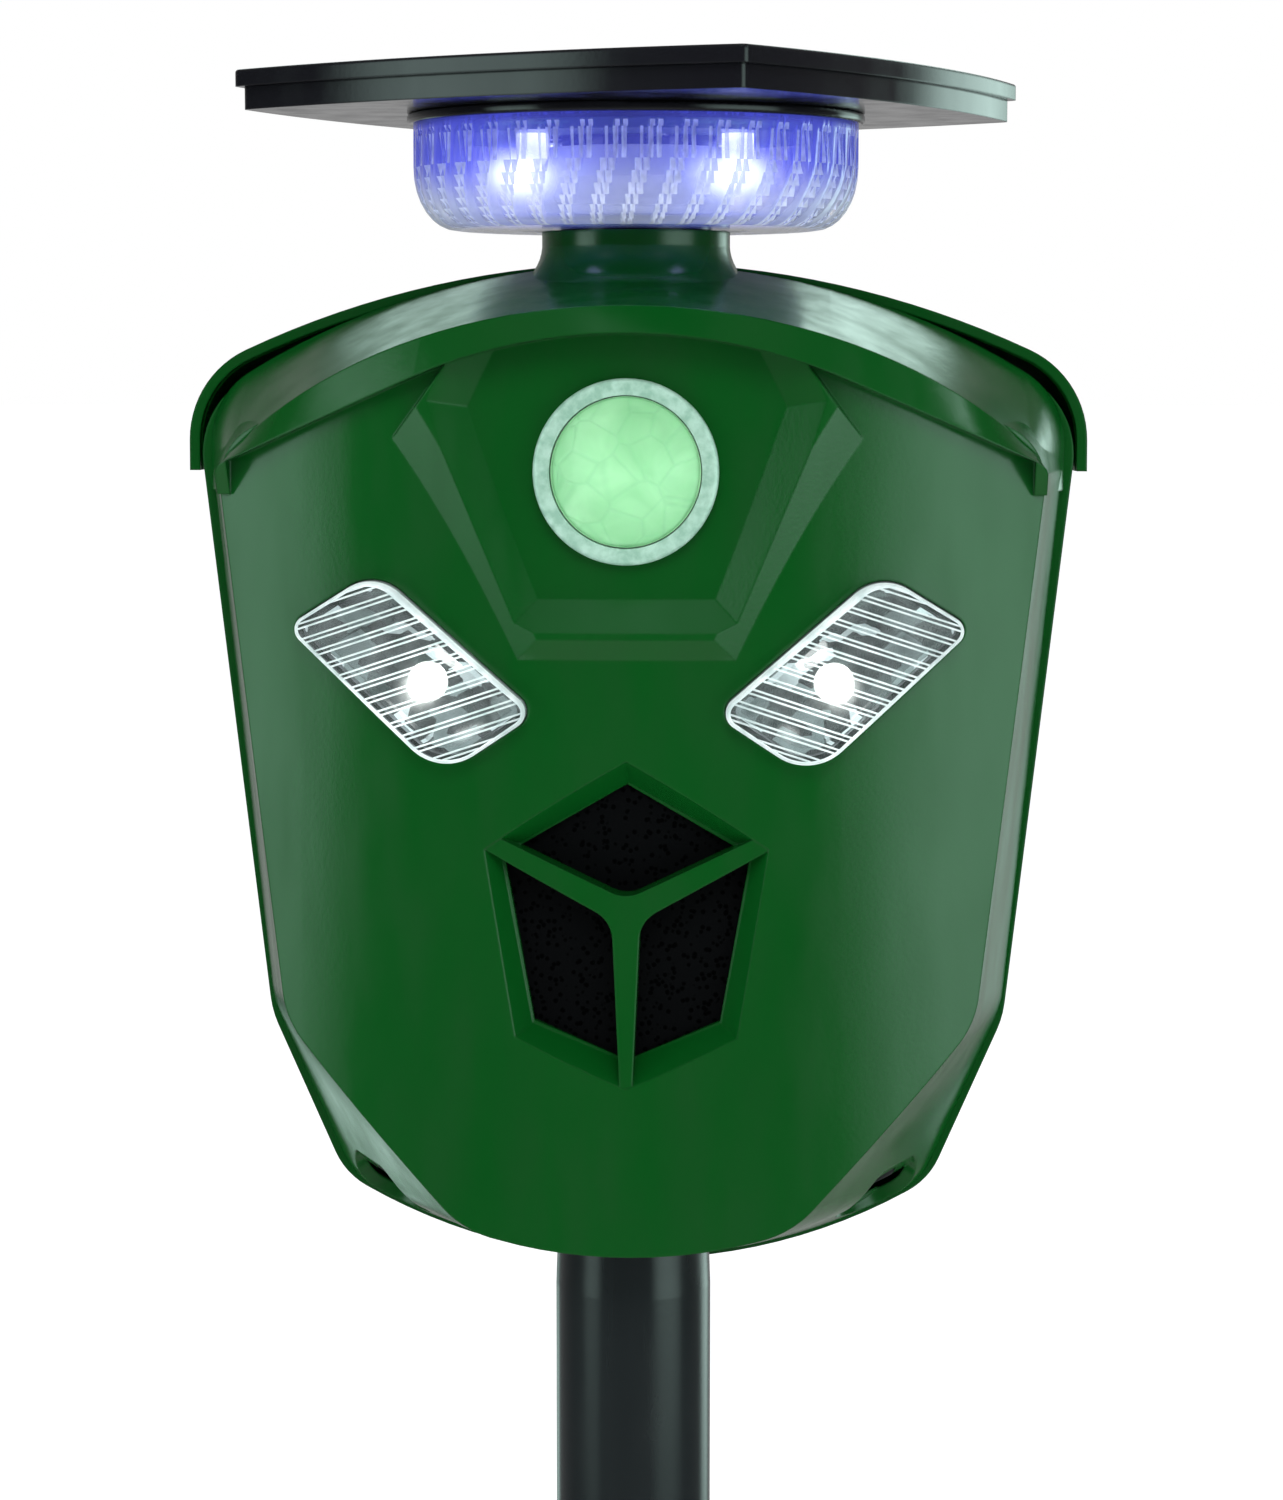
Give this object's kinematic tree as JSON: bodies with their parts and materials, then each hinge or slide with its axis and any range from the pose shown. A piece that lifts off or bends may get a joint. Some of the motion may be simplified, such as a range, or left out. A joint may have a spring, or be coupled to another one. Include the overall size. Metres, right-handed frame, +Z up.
{
  "type": "garden pest repeller",
  "caption": "Garden ultrasonic repeller: green housing with motion sensor, sound grille and flash lenses, swivelling solar beacon head, ground pole and spike.",
  "frame": {"origin": "pole axis at ground level, where the spike's collar meets the soil", "axes": "+Z up along the pole, -Y is the way the face looks, +X to the right of a viewer in front"},
  "size_m": [0.1446, 0.1226, 0.5222],
  "materials": {
    "green_gloss": "glossy dark green moulded plastic",
    "clear_lens": "clear ribbed plastic",
    "chrome_tray": "vacuum plated facets",
    "silver_ring": "satin silver",
    "dome_white": "milky polyethylene",
    "sensor_can": "plated can",
    "dark_mesh": "black perforated",
    "speaker_steel": "pressed steel",
    "speaker_paper": "cone",
    "board_green": "solder mask",
    "board_white": "white star board",
    "part_black": "moulded",
    "led_white": "epoxy",
    "screw_steel": "zinc plated",
    "contact_steel": "nickel plated",
    "cell_sleeve": "shrink sleeve",
    "rubber_black": "soft rubber",
    "knob_black": "fine texture",
    "beacon_clear": "ribbed lens",
    "beacon_white": "white light guide",
    "head_black": "glossy black",
    "solar_cell": "silicon cells on a black sheet",
    "solar_glass": "clear cover",
    "pole_paint": "glossy charcoal",
    "pole_black": "moulded"
  },
  "bodies": {
    "housing": {"front_shell": "green_gloss", "rear_hood": "green_gloss", "rear_shell": "green_gloss", "battery_door": "green_gloss", "eye_lens_left": "clear_lens", "eye_lens_right": "clear_lens", "eye_reflector_left": "chrome_tray", "eye_reflector_right": "chrome_tray", "pir_ring": "silver_ring", "pir_dome": "dome_white", "pir_sensor": "sensor_can", "speaker_mesh": "dark_mesh", "port_screens": "dark_mesh", "speaker_frame": "speaker_steel", "speaker_magnet": "speaker_steel", "speaker_cone": "speaker_paper", "main_board": "board_green", "pir_board": "board_green", "eye_boards": "board_white", "board_parts": "part_black", "rotary_switch": "part_black", "battery_holder": "part_black", "eye_leds": "led_white", "board_screws": "screw_steel", "shell_screws": "screw_steel", "hood_screws": "screw_steel", "door_screw": "screw_steel", "battery_contacts": "contact_steel", "usb_socket": "contact_steel", "battery_cells": "cell_sleeve", "usb_strap": "rubber_black", "door_gasket": "rubber_black", "shell_seal": "rubber_black", "pole_upper": "pole_paint", "pole_lower": "pole_paint", "pole_socket": "pole_black", "pole_joiner": "pole_black", "ground_spike": "pole_black"},
    "solar_head": {"swivel_spigot": "head_black", "swivel_clip": "contact_steel", "beacon_lens": "beacon_clear", "beacon_reflector": "beacon_white", "beacon_board": "board_green", "beacon_leds": "led_white", "beacon_collar": "head_black", "collar_screws": "screw_steel", "panel_tray": "head_black", "panel_rim": "head_black", "solar_cells": "solar_cell", "solar_glass": "solar_glass"},
    "mode_knob": {"mode_knob": "knob_black"},
    "usb_cover": {"usb_cover": "rubber_black"}
  },
  "joints": [
    {"name": "head_swivel", "type": "hinge", "parent": "housing", "child": "solar_head", "pos_m": [0, 0.01, 0.36], "axis": [0, 0, 1], "range_deg": [-165, 165]},
    {"name": "mode_knob_turn", "type": "hinge", "parent": "housing", "child": "mode_knob", "pos_m": [-0.02, 0.042, 0.3], "axis": [0, 1, 0], "range_deg": [0, 240]},
    {"name": "usb_cover_hinge", "type": "hinge", "parent": "housing", "child": "usb_cover", "pos_m": [0.0264, 0.043, 0.3], "axis": [0, 0, -1], "range_deg": [0, 90]}
  ]
}
